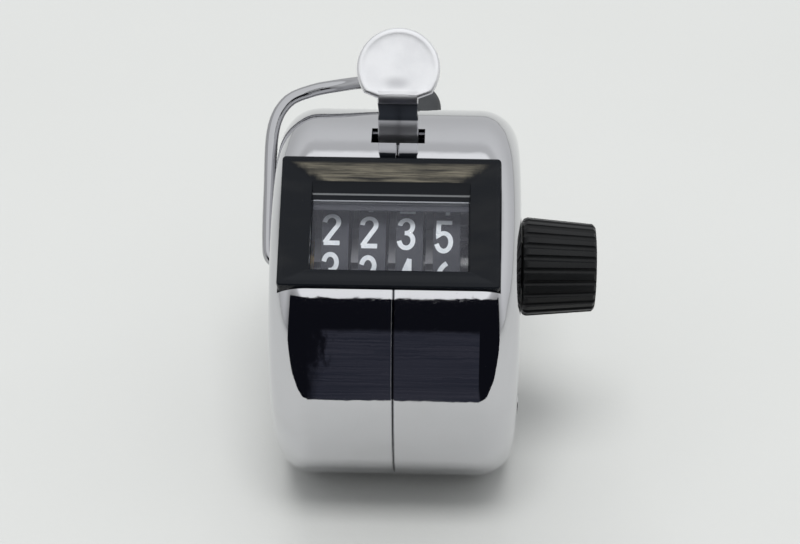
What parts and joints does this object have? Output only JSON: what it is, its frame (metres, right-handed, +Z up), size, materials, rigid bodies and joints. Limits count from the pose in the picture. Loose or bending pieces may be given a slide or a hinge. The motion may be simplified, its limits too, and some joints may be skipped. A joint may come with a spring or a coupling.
{
  "type": "hand tally counter",
  "caption": "Round drawn-metal hand tally counter with number wheels behind a framed window, a sprung thumb lever, a reset knob at the side and a wire finger ring.",
  "frame": {"origin": "middle of the flat foot, in the plane of the casing's seam", "axes": "+X along the wheel axis towards the reset knob, the window faces -Y and up, +Z up out of the foot"},
  "size_m": [0.0407, 0.0635, 0.0575],
  "materials": {
    "chrome": "mirror-bright chrome plate with a faint orange peel",
    "chrome_wire": "mirror-bright chrome plate on round wire",
    "satin_steel": "fine satin nickel, bright along the coined rim",
    "black_gloss": "moulded, slightly scratched gloss",
    "black_matte": "moulded, satin, worn along the ribs",
    "boss_black": "moulded, fine texture",
    "lens": "clear moulded acrylic",
    "wheel_black": "moulded dark grey with printed pale figures",
    "plated_steel": "zinc plate, stamped grain",
    "bright_steel": "turned, bright zinc",
    "spring_steel": "tempered spring steel",
    "brass": "turned brass"
  },
  "bodies": {
    "casing": {"left_casing": "chrome", "right_casing": "chrome", "window_bezel": "black_gloss", "window_lens": "lens", "left_side_plate": "plated_steel", "right_side_plate": "plated_steel", "frame_pillars": "bright_steel", "casing_posts": "bright_steel", "casing_screws": "bright_steel", "left_shaft_bush": "brass", "right_shaft_bush": "brass", "lever_pivot_pin": "bright_steel", "lever_return_spring": "spring_steel", "detent_bar": "plated_steel", "detent_spring": "spring_steel", "detent_screws": "bright_steel", "finger_ring": "chrome_wire", "ring_clamp": "boss_black", "ring_push_nuts": "spring_steel"},
    "reset_shaft": {"reset_shaft": "bright_steel", "shaft_clip": "spring_steel", "friction_washer": "spring_steel", "reset_knob": "black_matte"},
    "units_wheel": {"units_wheel": "wheel_black", "units_ratchet": "plated_steel", "units_reset_pawl": "brass"},
    "tens_wheel": {"tens_wheel": "wheel_black", "tens_ratchet": "plated_steel", "tens_reset_pawl": "brass"},
    "hundreds_wheel": {"hundreds_wheel": "wheel_black", "hundreds_ratchet": "plated_steel", "hundreds_reset_pawl": "brass"},
    "thousands_wheel": {"thousands_wheel": "wheel_black", "thousands_ratchet": "plated_steel", "thousands_reset_pawl": "brass"},
    "thumb_lever": {"thumb_lever": "satin_steel", "lever_yoke": "plated_steel", "lever_rivets": "bright_steel", "pawl_pin": "bright_steel", "pawl_spring": "spring_steel"},
    "drive_pawl": {"drive_pawl": "plated_steel"}
  },
  "joints": [
    {"name": "reset_turn", "type": "hinge", "parent": "casing", "child": "reset_shaft", "pos_m": [0, -0.00511, 0.02946], "axis": [1, 0, 0], "continuous": true},
    {"name": "units_turn", "type": "hinge", "parent": "casing", "child": "units_wheel", "pos_m": [0, -0.00511, 0.02946], "axis": [1, 0, 0], "continuous": true},
    {"name": "tens_turn", "type": "hinge", "parent": "casing", "child": "tens_wheel", "pos_m": [0, -0.00511, 0.02946], "axis": [1, 0, 0], "continuous": true},
    {"name": "hundreds_turn", "type": "hinge", "parent": "casing", "child": "hundreds_wheel", "pos_m": [0, -0.00511, 0.02946], "axis": [1, 0, 0], "continuous": true},
    {"name": "thousands_turn", "type": "hinge", "parent": "casing", "child": "thousands_wheel", "pos_m": [0, -0.00511, 0.02946], "axis": [1, 0, 0], "continuous": true},
    {"name": "lever_press", "type": "hinge", "parent": "casing", "child": "thumb_lever", "pos_m": [0, 0.0015, 0.03974], "axis": [-1, 0, 0], "range_deg": [0, 17], "stiffness_Nm_per_rad": 0.06, "springref_deg": -22.92, "deforming": ["lever_return_spring"]},
    {"name": "pawl_rock", "type": "hinge", "parent": "thumb_lever", "child": "drive_pawl", "pos_m": [0, 0.0068, 0.01874], "axis": [1, 0, 0], "range_deg": [0, 16], "deforming": ["pawl_spring"]}
  ],
  "couplings": [
    {"joint": "pawl_rock", "follows": "lever_press", "ratio": 0.92}
  ]
}
